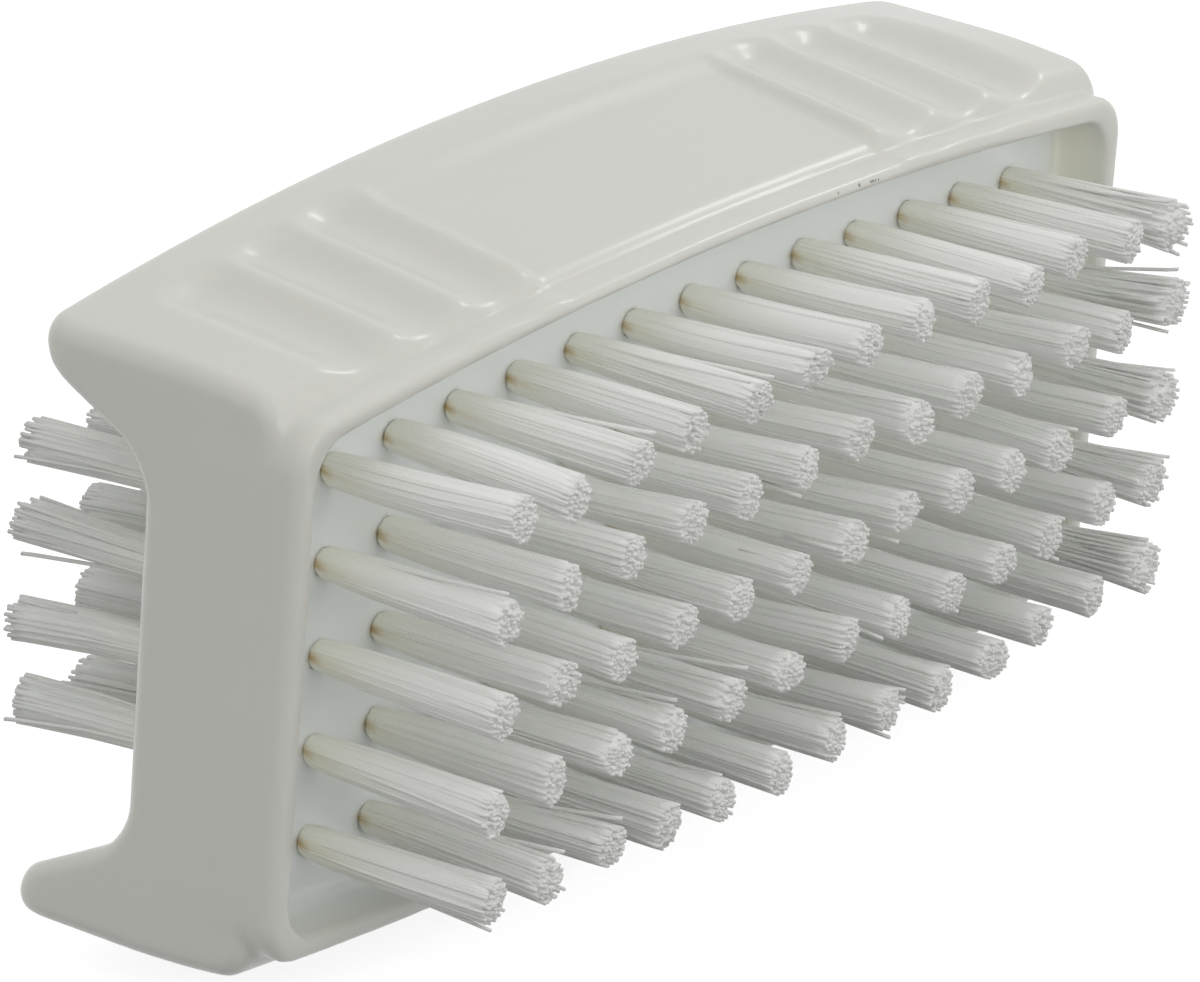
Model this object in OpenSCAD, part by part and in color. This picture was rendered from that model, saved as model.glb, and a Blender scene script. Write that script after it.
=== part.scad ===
// Double-sided nail brush, white plastic, real size in millimetres.
// One moulded body carries a long field of tufts in a lipped recess at the front (-Y)
// and a shorter field between two wings at the back (+Y). Each tuft is folded round a
// flat staple in a blind hole. The brush stands on its lower long side.

/* [Body] */
// Length of the body between its flat ends
body_l = 95; // [88:0.5:105]
// Height of the body at the middle of its back edge
body_h = 48; // [45:0.5:54]
// How far each long side bows outward along its back edge
back_bow = 4; // [2.5:0.05:5]
// How far each long side bows outward along its front edge
front_bow = 2.2; // [1.5:0.05:3]
// Flare of the long sides from front to back, in degrees
flare_a = 8.8; // [7:0.2:10]
// Width of the band along the back edge, at its middle, where the flare has ended
flare_rim = 4.25; // [3.8:0.05:4.45]
// Rounding of the edges between the ends and the long sides
edge_r = 1.2; // [0.5:0.1:2]
// Rounding of the shoulder between each long side and the lip
shoulder_r = 2.3; // [1.5:0.1:2.8]
// Thickness of the web that holds both fields of tufts
web_t = 8.3; // [7.5:0.1:9.5]

/* [Wings] */
// How far the two wings stand out behind the web
wing_reach = 9.2; // [8:0.05:10.5]
// Radius of the rounded back edge of each wing
wing_nose_r = 1.75; // [1.3:0.05:2]
// Rounding of the back corners at the ends of each wing, seen from above
wing_end_r = 3.2; // [2:0.1:4]
// How far that rounding runs out past the back edge, so that it meets it at an angle
wing_end_lap = 0.2; // [0.15:0.05:0.4]
// Slope of the inner face of each wing, in degrees from straight back
wing_a = 25; // [20:1:32]
// Fillet between the web and each wing
wing_fillet_r = 2.3; // [1:0.1:3]

/* [Lip] */
// How far the lip stands out past each end of the body
lip_proud = 0.5; // [0.2:0.1:1]
// Depth of the front recess
recess_depth = 4; // [3:0.1:5]
// Width of the lip band from its front edge to the step behind it
lip_band = 2.1; // [1.6:0.1:2.6]
// Step down from the long sides to the outside of the lip
lip_step = 1.7; // [1.4:0.1:2.2]
// Thickness of the lip along the long sides, at the middle
lip_t = 1.05; // [0.8:0.05:1.5]
// Thickness of the lip across the ends
lip_end_t = 1.9; // [1.2:0.1:3]
// Rounding of the front edge of the lip
lip_edge_r = 0.7; // [0.3:0.05:0.75]
// Corner radius of the outside of the lip
lip_corner_r = 3; // [1.5:0.1:4]
// Corner radius of the recess
recess_corner_r = 2.75; // [1.5:0.05:4]
// How far each long wall of the recess bows outward
recess_bow = 2.6; // [1.5:0.05:3.2]

/* [Grip] */
// Distance from one grip ridge to the next
ridge_pitch = 7; // [6:0.1:7.5]
// Width of a grip ridge
ridge_w = 0.9; // [0.6:0.1:1.6]
// Half the length of the long dish, from the middle to the first ridge
dish_half_l = 20.4; // [16:0.1:22]
// Depth of the dish and of the finger scallops
grip_depth = 0.9; // [0.5:0.05:1.1]
// Width of the plain rim behind the dish and the scallops
grip_rim = 4.55; // [4.5:0.05:6]
// Fillet at the back end of the dish and the scallops
grip_fillet_r = 2; // [1.2:0.1:2.5]
// Number of finger scallops at each end of a long side
scallops = 3; // [1:1:3]

/* [Tufts] */
// Tufts in each row
columns = 13; // [9:1:13]
// Gap from the outermost tufts to the end walls of the recess
column_margin = 6.7; // [5:0.1:9]
// Gap from the outer front rows to the long walls of the recess, at the ends
front_row_margin = 3.9; // [3.4:0.1:5]
// Gap from the outer back rows to the fillets of the wings, at the ends
back_row_margin = 2.45; // [2:0.05:3.5]
// Length of the front tufts above the floor of the recess
front_tuft_l = 14.5; // [9:0.5:18]
// Length of the back tufts above the back of the web
back_tuft_l = 15.4; // [10:0.2:19]
// Diameter of the tuft holes
hole_d = 2.4; // [2.2:0.05:2.8]
// Plastic left between the ends of the front holes and of the back holes
hole_core = 0.7; // [0.5:0.05:1.5]
// Clearance of a folded tuft in its hole, all round
tuft_clear = 0.05; // [0.02:0.01:0.1]
// Width of one bristle bundle where it leaves the floor
root_w = 0.74; // [0.6:0.02:0.8]
// Gap between the bundles of a tuft where they leave the floor
root_gap = 0.12; // [0.08:0.01:0.2]
// Width of one bristle bundle at its tip
tip_w = 1.08; // [0.8:0.02:1.2]
// Gap between the bundles of a tuft at their tips
tip_gap = 0.26; // [0.2:0.02:0.6]
// How unevenly long the bundles are
tip_scatter = 0.5; // [0:0.05:1]

/* [Staples] */
// Thickness of a staple
staple_t = 0.35; // [0.25:0.05:0.45]
// Depth of a staple, along the hole
staple_depth = 1.3; // [0.8:0.1:1.6]
// Clearance of a staple in the fold of its tuft
staple_clear = 0.05; // [0.02:0.01:0.08]
// Bristle left under a staple, at the bottom of the hole
fold_t = 0.6; // [0.4:0.05:0.8]

/* [Hidden] */

// Fineness of small round shapes and of the long bowed ones
$fn = 32;
bow_fn = 360;
// Overrun of every cut past the surface that it opens
overrun = 1;
// Rows of tufts on each face
front_rows = 5;
back_rows = 4;
// Thickness of the slice of floor that carries a row, and its clearance at the walls
slice_t = 0.6;
slice_clear = 0.1;
// Length of the slices behind the web, past the middle of the outermost tufts
slice_reach = 3.1;
// Depth to which a bundle is joined to its slice
root_sink = 0.3;
// Share by which the outer rows bow outward at the middle of the brush
row_bow_share = 0.1;
back_row_bow_share = 0.03;
// Quarters of a tuft, one for each bundle
quarter_shares = [[-1, -1], [1, -1], [1, 1], [-1, 1]];
// Seed of the unevenness of the tips
scatter_seed = 31;

// Radius of an arc from its chord and its bow
function arc_r(chord, bow) = (chord * chord / 4 + bow * bow) / (2 * bow);

front_r = arc_r(body_l, front_bow);
back_r = arc_r(body_l, back_bow);
back_y = web_t + wing_reach;
nose_y = back_y - wing_nose_r;
nose_z = body_h / 2 - wing_nose_r;
flare = tan(flare_a);
// Half height of the long sides level with the floor of the recess, at the middle
flare_y = back_y - flare_rim;
front_half_h = body_h / 2 - flare * flare_y;
step_y = lip_band - recess_depth;
lip_half_h = front_half_h - lip_step;
lip_l = body_l + 2 * lip_proud;
recess_l = lip_l - 2 * lip_end_t;
recess_half_h = lip_half_h - lip_t;
grip_back_y = back_y - grip_rim;
scallop_half_w = (ridge_pitch - ridge_w) / 2;
scallop_r = (scallop_half_w * scallop_half_w + grip_depth * grip_depth) / (2 * grip_depth);
hole_depth = (web_t - hole_core) / 2;
plug_r = hole_d / 2 - tuft_clear;
staple_w = 2 * plug_r;
half_row_l = recess_l / 2 - column_margin;
column_pitch = 2 * half_row_l / (columns - 1);

// The straight inner face of a wing touches its nose here, at the middle of the brush
wing_z = nose_z - wing_nose_r * cos(wing_a);
wing_y = nose_y + wing_nose_r * sin(wing_a);
fillet_y = web_t + wing_fillet_r;
fillet_z = wing_z - tan(wing_a) * (wing_y - fillet_y) - wing_fillet_r / cos(wing_a);

// Rows are spaced so that the outer ones keep their margins at the ends
front_row_pitch = 2 * (recess_half_h - recess_bow - front_row_margin) / (front_rows - 1);
back_row_pitch = 2 * (fillet_z - back_bow - back_row_margin) / (back_rows - 1);

// Height of the long side above the mid-plane at a place along and across it
function flare_z(x, y) = front_half_h - front_r + sqrt(pow(front_r + flare * y, 2) - x * x);
function bow_z(x) = body_h / 2 - back_r + sqrt(back_r * back_r - x * x);
function side_z(x, y) = min(flare_z(x, y), bow_z(x));

// Places of the tufts: back is false for the front field and true for the back field
function rows_of(back) = back ? back_rows : front_rows;
function pitch_of(back) = back ? back_row_pitch : front_row_pitch;
function bow_of(back) = back ? back_row_bow_share : row_bow_share;
function tuft_x(col) = (col - (columns - 1) / 2) * column_pitch;
function row_step(back, row) = row - (rows_of(back) - 1) / 2;
function tuft_z(back, row, x) =
    row_step(back, row) * pitch_of(back) * (1 + bow_of(back) * (1 - pow(x / half_row_l, 2)));
function floor_y(back) = back ? web_t : 0;
function out_of(back) = back ? 1 : -1;
function tuft_l(back) = back ? back_tuft_l : front_tuft_l;

// One value from 0 to 1 for each bundle of the brush
bundles = (front_rows + back_rows) * columns * len(quarter_shares);
scatter_shares = rands(0, 1, bundles, scatter_seed);
function bundle_index(back, row, col, q) =
    ((row + (back ? front_rows : 0)) * columns + col) * len(quarter_shares) + q;

// Four corners of a square bundle at one height along its tuft
function bundle_ring(back, row, col, q, w, gap, y) =
    let (
        x0 = tuft_x(col),
        cx = x0 + quarter_shares[q][0] * (w + gap) / 2,
        cz = tuft_z(back, row, x0) + quarter_shares[q][1] * (w + gap) / 2
    )
    [for (s = quarter_shares) [cx + s[0] * w / 2, y, cz + s[1] * w / 2]];
function tip_y(back, row, col, q) =
    floor_y(back) + out_of(back)
    * (tuft_l(back) - tip_scatter * scatter_shares[bundle_index(back, row, col, q)]);
function tip_ring(back, row, col, q) =
    bundle_ring(back, row, col, q, tip_w, tip_gap, tip_y(back, row, col, q));

// The brush leans by its flare, so that it lies on its lower long side, and its box is
// centred over the origin from the tips that reach furthest to the front and to the back
function leaned_y(p) = p[1] * cos(flare_a) - p[2] * sin(flare_a);
function reach_y(back) =
    [for (row = [0:rows_of(back) - 1], col = [0:columns - 1], q = [0:len(quarter_shares) - 1])
        for (p = tip_ring(back, row, col, q)) leaned_y(p)];
centre_y = (min(reach_y(false)) + max(reach_y(true))) / 2;
rest_h = front_half_h * cos(flare_a);

module placed() {
    translate([0, -centre_y, rest_h])
        rotate([flare_a, 0, 0])
            children();
}

// Both ends, both long sides or all four corners of what is drawn for one
module both_ends() {
    for (s = [0, 1])
        mirror([s, 0, 0])
            children();
}
module both_sides() {
    for (s = [0, 1])
        mirror([0, 0, s])
            children();
}

// An outline drawn along X and Z, made solid from one depth to another
module across(y0, y1) {
    translate([0, y1, 0])
        rotate([90, 0, 0])
            linear_extrude(y1 - y0)
                children();
}

// A section drawn with height first and depth second, swept along a bowed long side
module bowed(radius, mid_z) {
    translate([0, 0, mid_z - radius])
        rotate([-90, 0, 0])
            rotate_extrude($fn = bow_fn)
                translate([radius - mid_z, 0])
                    children();
}

// What a corner loses when an end and a bowed side are rounded into each other
module corner_waste(half_l, radius, mid_z, r) {
    cx = half_l - r;
    lean = asin(cx / (radius - r));
    cz = mid_z - radius + (radius - r) * cos(lean);
    difference() {
        polygon([
            [cx, cz],
            [cx + 2 * r * sin(lean), cz + 2 * r * cos(lean)],
            [half_l + r, cz + 2 * r],
            [half_l + r, cz]
        ]);
        translate([cx, cz])
            circle(r);
    }
}

// Outline with flat ends, bowed long sides and rounded corners
module barrel(l, half_h, bow, corner_r) {
    radius = arc_r(l, bow);
    difference() {
        intersection() {
            square([l, 2 * half_h], center = true);
            translate([0, half_h - radius])
                circle(radius, $fn = bow_fn);
            translate([0, radius - half_h])
                circle(radius, $fn = bow_fn);
        }
        for (sx = [0, 1], sz = [0, 1])
            mirror([sx, 0])
                mirror([0, sz])
                    corner_waste(l / 2, radius, half_h, corner_r);
    }
}

// Section of the front: flared side, rounded shoulder, step and lip band
module front_section() {
    sy = step_y + shoulder_r;
    sz = front_half_h + flare * sy - shoulder_r / cos(flare_a);
    polygon([
        [-body_h, step_y],
        [sz, step_y],
        [sz, sy],
        [sz + shoulder_r * cos(flare_a), sy - shoulder_r * sin(flare_a)],
        [front_half_h + flare * (back_y + overrun), back_y + overrun],
        [-body_h, back_y + overrun]
    ]);
    translate([sz, sy])
        circle(shoulder_r);
    polygon([
        [-body_h, -recess_depth],
        [lip_half_h - lip_edge_r, -recess_depth],
        [lip_half_h - lip_edge_r, lip_edge_r - recess_depth],
        [lip_half_h, lip_edge_r - recess_depth],
        [lip_half_h, step_y],
        [-body_h, step_y]
    ]);
    translate([lip_half_h - lip_edge_r, lip_edge_r - recess_depth])
        circle(lip_edge_r);
}

// Section of the back: straight side and the round nose of the wing
module back_section() {
    polygon([
        [-body_h, -recess_depth - overrun],
        [body_h / 2, -recess_depth - overrun],
        [body_h / 2, nose_y],
        [nose_z, nose_y],
        [nose_z, back_y],
        [-body_h, back_y]
    ]);
    translate([nose_z, nose_y])
        circle(wing_nose_r);
}

// Section of the channel between the wings, filleted to the web and round the noses
module channel_section() {
    difference() {
        union() {
            polygon([
                [-body_h, web_t],
                [fillet_z, web_t],
                [fillet_z, fillet_y],
                [fillet_z + wing_fillet_r * cos(wing_a), fillet_y - wing_fillet_r * sin(wing_a)],
                [wing_z, wing_y],
                [nose_z, nose_y],
                [nose_z, back_y + overrun],
                [-body_h, back_y + overrun]
            ]);
            translate([fillet_z, fillet_y])
                circle(wing_fillet_r);
        }
        translate([nose_z, nose_y])
            circle(wing_nose_r);
    }
}

// Plan of the body from above: flat ends, and the lip slightly longer than the body
module plan() {
    half_l = body_l / 2 - wing_end_r;
    end_y = back_y + wing_end_lap - wing_end_r;
    translate([-body_l / 2, step_y])
        square([body_l, end_y - step_y]);
    translate([-half_l, end_y])
        square([2 * half_l, wing_end_r + overrun]);
    for (s = [-1, 1])
        translate([s * half_l, end_y])
            circle(wing_end_r, $fn = 2 * $fn);
    translate([-lip_l / 2, lip_edge_r - recess_depth])
        square([lip_l, lip_band - lip_edge_r]);
    translate([lip_edge_r - lip_l / 2, -recess_depth])
        square([lip_l - 2 * lip_edge_r, lip_band]);
    for (s = [-1, 1])
        translate([s * (lip_l / 2 - lip_edge_r), lip_edge_r - recess_depth])
            circle(lip_edge_r);
}

module outer_form() {
    difference() {
        intersection() {
            translate([0, 0, -body_h])
                linear_extrude(2 * body_h)
                    plan();
            front_form();
            back_form();
        }
        both_ends()
            both_sides() {
                across(step_y, back_y + overrun)
                    corner_waste(body_l / 2, back_r, body_h / 2, edge_r);
                across(-recess_depth - overrun, step_y)
                    corner_waste(lip_l / 2, front_r - lip_step, lip_half_h, lip_corner_r);
            }
    }
}
module front_form() {
    intersection() {
        bowed(front_r, front_half_h)
            front_section();
        mirror([0, 0, 1])
            bowed(front_r, front_half_h)
                front_section();
    }
}
module back_form() {
    intersection() {
        bowed(back_r, body_h / 2)
            back_section();
        mirror([0, 0, 1])
            bowed(back_r, body_h / 2)
                back_section();
    }
}

module channel() {
    intersection() {
        bowed(back_r, body_h / 2)
            channel_section();
        mirror([0, 0, 1])
            bowed(back_r, body_h / 2)
                channel_section();
    }
}

// The front recess, down to the seats of the slices that carry the tufts
module recess() {
    across(-recess_depth - overrun, slice_t)
        barrel(recess_l, recess_half_h, recess_bow, recess_corner_r);
}

// The shallow seat behind the web for the slices that carry the back tufts
function back_seat_half_h() = back_rows / 2 * back_row_pitch;
module back_seat() {
    half_l = half_row_l + slice_reach;
    translate([-half_l, web_t - slice_t, -back_seat_half_h()])
        cube([2 * half_l, slice_t + overrun, 2 * back_seat_half_h()]);
}

module tuft_holes(back) {
    for (row = [0:rows_of(back) - 1], col = [0:columns - 1])
        translate([tuft_x(col), floor_y(back), tuft_z(back, row, tuft_x(col))])
            rotate([out_of(back) * 90, 0, 0])
                cylinder(h = hole_depth, d = hole_d);
}

// The long dish along the middle of one long side
module dish() {
    gy = grip_back_y - grip_fillet_r;
    dz = front_half_h - grip_depth / cos(flare_a);
    gz = dz + flare * gy + grip_fillet_r / cos(flare_a);
    top = body_h / 2 + overrun;
    front = -recess_depth - overrun;
    intersection() {
        bowed(front_r, front_half_h)
            union() {
                polygon([
                    [dz + flare * front, front],
                    [gz - grip_fillet_r * cos(flare_a), gy + grip_fillet_r * sin(flare_a)],
                    [gz, gy],
                    [gz, grip_back_y],
                    [top, grip_back_y],
                    [top, front]
                ]);
                translate([gz, gy])
                    circle(grip_fillet_r);
            }
        translate([ridge_w / 2 - dish_half_l, front - overrun, 0])
            cube([2 * dish_half_l - ridge_w, grip_back_y - front + 2 * overrun, top]);
    }
}

// One finger scallop, along the surface at its own place
module scallop(x) {
    front = recess_depth + overrun;
    rise = atan((side_z(x, grip_back_y) - side_z(x, 0)) / grip_back_y);
    mid_y = grip_back_y / 2;
    fall = side_z(x - scallop_half_w, mid_y) - side_z(x + scallop_half_w, mid_y);
    roll = atan(fall / (2 * scallop_half_w));
    l = front + grip_back_y / cos(rise);
    lift = scallop_r - grip_depth;
    translate([x + lift * sin(roll), 0, side_z(x, 0) + lift * cos(roll)])
        rotate([0, roll, 0])
            rotate([rise - 90, 0, 0])
                translate([0, 0, -front])
                    rotate_extrude($fn = 2 * $fn) {
                        square([scallop_r - grip_fillet_r, l]);
                        square([scallop_r, l - grip_fillet_r]);
                        translate([scallop_r - grip_fillet_r, l - grip_fillet_r])
                            intersection() {
                                circle(grip_fillet_r);
                                square(grip_fillet_r);
                            }
                    }
}

module grip() {
    dish();
    for (i = [0:scallops - 1])
        both_ends()
            scallop(dish_half_l + (i + 1 / 2) * ridge_pitch);
}

module body() {
    color([0.93, 0.93, 0.91])
        placed()
            difference() {
                outer_form();
                recess();
                channel();
                back_seat();
                tuft_holes(false);
                tuft_holes(true);
                both_sides()
                    grip();
            }
}

// One straight bundle of bristles that widens to its tip
module bundle(back, row, col, q) {
    root_y = floor_y(back) - out_of(back) * root_sink;
    ring = concat(
        bundle_ring(back, row, col, q, root_w, root_gap, root_y),
        tip_ring(back, row, col, q)
    );
    faces = [
        [0, 1, 2], [0, 2, 3], [4, 6, 5], [4, 7, 6],
        [0, 4, 5], [0, 5, 1], [1, 5, 6], [1, 6, 2],
        [2, 6, 7], [2, 7, 3], [3, 7, 4], [3, 4, 0]
    ];
    polyhedron(
        points = ring,
        faces = back ? [for (f = faces) [f[0], f[2], f[1]]] : faces
    );
}

// The fold of a tuft in its hole, open where the staple passes through it
module fold(back, row, col) {
    slot_w = 2 * (plug_r + overrun);
    slot_t = staple_t + 2 * staple_clear;
    slot_d = staple_depth + 2 * staple_clear;
    translate([tuft_x(col), floor_y(back), tuft_z(back, row, tuft_x(col))])
        rotate([out_of(back) * 90, 0, 0])
            difference() {
                translate([0, 0, slice_t / 2])
                    cylinder(h = hole_depth - slice_t / 2, r = plug_r);
                translate([-slot_w / 2, -slot_t / 2, hole_depth - fold_t - slot_d])
                    cube([slot_w, slot_t, slot_d]);
            }
}

// The slice of floor under one row of tufts
module slice(back, row) {
    low = row_step(back, row) - 1 / 2;
    first = row == 0;
    last = row == rows_of(back) - 1;
    pitch = pitch_of(back);
    if (back) {
        z0 = low * pitch + (first ? slice_clear : 0);
        z1 = (low + 1) * pitch - (last ? slice_clear : 0);
        l = 2 * (half_row_l + slice_reach - slice_clear);
        translate([-l / 2, web_t - slice_t, z0])
            cube([l, slice_t, z1 - z0]);
    } else {
        z0 = first ? -recess_half_h : low * pitch;
        z1 = last ? recess_half_h : (low + 1) * pitch;
        across(0, slice_t)
            intersection() {
                barrel(
                    recess_l - 2 * slice_clear,
                    recess_half_h - slice_clear,
                    recess_bow,
                    recess_corner_r - slice_clear
                );
                translate([-recess_l / 2, z0])
                    square([recess_l, z1 - z0]);
            }
    }
}

module tufts(back, row) {
    color([0.86, 0.88, 0.86])
        placed()
            union() {
                slice(back, row);
                for (col = [0:columns - 1]) {
                    fold(back, row, col);
                    for (q = [0:len(quarter_shares) - 1])
                        bundle(back, row, col, q);
                }
            }
}

module staples(back, row) {
    color([0.72, 0.62, 0.4])
        placed()
            for (col = [0:columns - 1])
                translate([tuft_x(col), floor_y(back), tuft_z(back, row, tuft_x(col))])
                    rotate([out_of(back) * 90, 0, 0])
                        translate([-staple_w / 2, -staple_t / 2, hole_depth - fold_t - staple_clear - staple_depth])
                            cube([staple_w, staple_t, staple_depth]);
}

body();
tufts(false, 0);  // front_tufts_1
tufts(false, 1);  // front_tufts_2
tufts(false, 2);  // front_tufts_3
tufts(false, 3);  // front_tufts_4
tufts(false, 4);  // front_tufts_5
staples(false, 0);  // front_staples_1
staples(false, 1);  // front_staples_2
staples(false, 2);  // front_staples_3
staples(false, 3);  // front_staples_4
staples(false, 4);  // front_staples_5
tufts(true, 0);  // back_tufts_1
tufts(true, 1);  // back_tufts_2
tufts(true, 2);  // back_tufts_3
tufts(true, 3);  // back_tufts_4
staples(true, 0);  // back_staples_1
staples(true, 1);  // back_staples_2
staples(true, 2);  // back_staples_3
staples(true, 3);  // back_staples_4
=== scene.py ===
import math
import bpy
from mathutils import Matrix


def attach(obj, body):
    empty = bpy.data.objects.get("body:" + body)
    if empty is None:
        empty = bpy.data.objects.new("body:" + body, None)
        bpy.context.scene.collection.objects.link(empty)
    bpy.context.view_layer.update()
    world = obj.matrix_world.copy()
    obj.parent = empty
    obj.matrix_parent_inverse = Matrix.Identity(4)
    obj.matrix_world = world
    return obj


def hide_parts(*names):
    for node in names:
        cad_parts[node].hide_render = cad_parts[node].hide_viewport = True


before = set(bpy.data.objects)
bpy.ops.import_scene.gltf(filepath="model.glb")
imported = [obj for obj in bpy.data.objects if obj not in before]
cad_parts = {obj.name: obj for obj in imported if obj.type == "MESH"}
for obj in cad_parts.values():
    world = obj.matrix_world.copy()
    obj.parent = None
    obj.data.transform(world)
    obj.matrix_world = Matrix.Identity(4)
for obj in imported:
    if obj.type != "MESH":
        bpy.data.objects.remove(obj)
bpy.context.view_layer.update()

# A double-sided nail brush of glossy white plastic, with tufts taken for nylon and
# staples, which the photograph hides, taken for brass. Its shapes are worked out in
# millimetres in the brush's own frame (X along it, -Y out of the front field of
# tufts, Z across the bowed sides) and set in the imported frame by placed().
from types import SimpleNamespace

import bpy
import numpy as np
from mathutils import Matrix

MM = 0.001

# Sizes in millimetres and degrees, named as in part.scad where it has them. Some were
# changed here later, by comparing renders with the photograph, and differ from it.
# Housing, whose long sides flare towards the back and end in a plain band
BODY_L, BODY_H, BACK_BOW, FRONT_BOW = 95.8, 48.0, 3.8, 2.2
FLARE_A, FLARE_RIM, FLARE_BLEND = 8.8, 4.25, 0.8
EDGE_R, SHOULDER_R, WEB_T = 1.2, 2.3, 8.3
# Wings behind
WING_REACH, WING_NOSE_R, WING_A, WING_FILLET_R = 9.2, 1.65, 27.5, 2.2
WING_END_R, WING_END_LAP = 4.0, 1.0
# Lip in front, which runs back into the housing
LIP_PROUD, LIP_BAND, LIP_STEP, LIP_T, LIP_END_T = 0.1, 2.1, 1.7, 1.05, 1.9
LIP_EDGE_R, LIP_END_EDGE_GAIN, LIP_CORNER_R, LIP_DRAFT = 0.7, 0.5, 3.0, 0.03
LIP_BACK_Y, LIP_BACK_R, LIP_BLEND = 6.0, 0.3, 0.35
# Recess inside the lip
RECESS_DEPTH, RECESS_BOW, RECESS_CORNER_R = 4.0, 2.6, 2.75
RECESS_DRAFT, RECESS_FLOOR_R, RECESS_RIM_R = 0.05, 0.9, 0.45
# Dish and scallops in both long sides
GRIP_DEPTH, GRIP_RIM, GRIP_FILLET_R = 0.9, 4.55, 2.0
DISH_HALF_L, DISH_BACK, DISH_FILLET_R, DISH_END_R, DISH_RIM_R = 20.4, 0.2, 2.7, 1.2, 1.0
SCALLOPS, SCALLOP_RIM_R, RIDGE_PITCH, RIDGE_W = 3, 0.75, 7.0, 0.9
# Holes of the tufts. They were narrowed to hide a dark ring round the tufts,
# so they are narrower than the tufts are at the floor, and are no measure.
HOLE_D, HOLE_CORE, HOLE_RIM_R = 1.66, 0.7, 0.06
COLUMNS, FRONT_ROWS, BACK_ROWS = 13, 5, 4
COLUMN_MARGIN, FRONT_ROW_MARGIN, BACK_ROW_MARGIN = 6.7, 3.9, 2.45
# Place in Y of the leaned brush's middle, which lies at 0 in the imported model
CENTRE_Y = 4.1983


def arc_r(chord, bow):
    """Radius of an arc from its chord and its bow."""
    return (chord * chord / 4 + bow * bow) / (2 * bow)


LIP_L = BODY_L + 2 * LIP_PROUD
FRONT_R, BACK_R = arc_r(BODY_L, FRONT_BOW), arc_r(BODY_L, BACK_BOW)
BACK_Y = WEB_T + WING_REACH
FLARE = math.tan(math.radians(FLARE_A))
LEAN_C, LEAN_S = math.cos(math.radians(FLARE_A)), math.sin(math.radians(FLARE_A))
FRONT_HALF_H = BODY_H / 2 - FLARE * (BACK_Y - FLARE_RIM)
REST_H = FRONT_HALF_H * LEAN_C
STEP_Y = LIP_BAND - RECESS_DEPTH
LIP_HALF_H = FRONT_HALF_H - LIP_STEP
LIP_R = FRONT_R - LIP_STEP
RECESS_L = LIP_L - 2 * LIP_END_T
RECESS_HALF_H = LIP_HALF_H - LIP_T
RECESS_R = arc_r(RECESS_L, RECESS_BOW)
GRIP_BACK_Y = BACK_Y - GRIP_RIM
SCALLOP_HALF_W = (RIDGE_PITCH - RIDGE_W) / 2
SCALLOP_R = (SCALLOP_HALF_W ** 2 + GRIP_DEPTH ** 2) / (2 * GRIP_DEPTH)
HOLE_DEPTH = (WEB_T - HOLE_CORE) / 2
HALF_ROW_L = RECESS_L / 2 - COLUMN_MARGIN
COLUMN_PITCH = 2 * HALF_ROW_L / (COLUMNS - 1)
MID_COLUMN = COLUMNS // 2
WING_SLOPE = math.tan(math.radians(WING_A))
WING_COS = math.cos(math.radians(WING_A))
WING_Z = BODY_H / 2 - WING_NOSE_R * (1 + WING_COS)
WING_Y = BACK_Y - WING_NOSE_R * (1 - math.sin(math.radians(WING_A)))
FILLET_Z = (WING_Z - WING_SLOPE * (WING_Y - WEB_T - WING_FILLET_R)
            - WING_FILLET_R / WING_COS)

# The two fields of tufts:
#   floor, out: their face, and the way that they point
#   bow: share by which the rows lie further apart in the middle
#   shift: of all roots, in X and Z
#   drift: lean of the tips in X and in Z at the middle column, and its change from
#     there to the last one
#   near_lean: rise of the tips in the first column, bottom row first
#   ragged: how uneven the ends are, least and most
#   heart_short: how far the hearts end below the tips
#   tone: lowest shade of the strands, and its spread; set low for the back tufts as
#   painted shade
FRONT = SimpleNamespace(
    name="front", floor=0.0, out=-1.0, seed=7, rows=FRONT_ROWS, bow=0.1,
    pitch=2 * (RECESS_HALF_H - RECESS_BOW - FRONT_ROW_MARGIN) / (FRONT_ROWS - 1),
    length=14.5, tip_r=1.39, heart_short=0.3, shift=(0.04, 0.0),
    drift=((0.3, -0.3), (0.22, 0.22)), near_lean=None, ragged=(0.1, 0.24),
    tone=(0.5, 0.5))
BACK = SimpleNamespace(
    name="back", floor=WEB_T, out=1.0, seed=12, rows=BACK_ROWS, bow=0.03,
    pitch=2 * (FILLET_Z - BACK_BOW - BACK_ROW_MARGIN) / (BACK_ROWS - 1),
    length=15.4, tip_r=1.44, heart_short=0.6, shift=(0.0, -0.15),
    drift=((0.0, 0.0), (-1.0, 0.0)), near_lean=(-0.9, -1.0, -0.1, -0.75),
    # The back tufts' low shade is painted shade, as they lie in less light
    ragged=(0.15, 0.45), tone=(0.0, 0.4))
FIELDS = (FRONT, BACK)


def leaned(v):
    """Directions of the brush's frame, turned to the way it lies."""
    v = np.asarray(v, float)
    return np.stack([v[..., 0], v[..., 1] * LEAN_C - v[..., 2] * LEAN_S,
                     v[..., 1] * LEAN_S + v[..., 2] * LEAN_C], -1)


def placed(v):
    """Points of the brush's frame in metres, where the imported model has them."""
    return (leaned(v) + [0, -CENTRE_Y, REST_H]) * MM


# Forms of the body. Each is below zero inside and about the distance to its surface.
def rmax(a, b, r):
    """What two forms share, with the edge between them rounded."""
    return (np.minimum(np.maximum(a, b), -r)
            + np.hypot(np.maximum(a + r, 0), np.maximum(b + r, 0)))


def smin(a, b, k):
    """The lower of two values, with a soft turn from one to the other."""
    h = np.maximum(k - np.abs(a - b), 0) / k
    return np.minimum(a, b) - h * h * k / 4


def drop(x, radius):
    """How far an arc of this radius has fallen at x."""
    return radius - np.sqrt(radius ** 2 - np.minimum(x * x, BODY_L ** 2))


def flare_z(x, y):
    """Height of the flared and bowed long side, without its band."""
    return FRONT_HALF_H - FRONT_R + np.sqrt((FRONT_R + FLARE * y) ** 2 - x * x)


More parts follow.
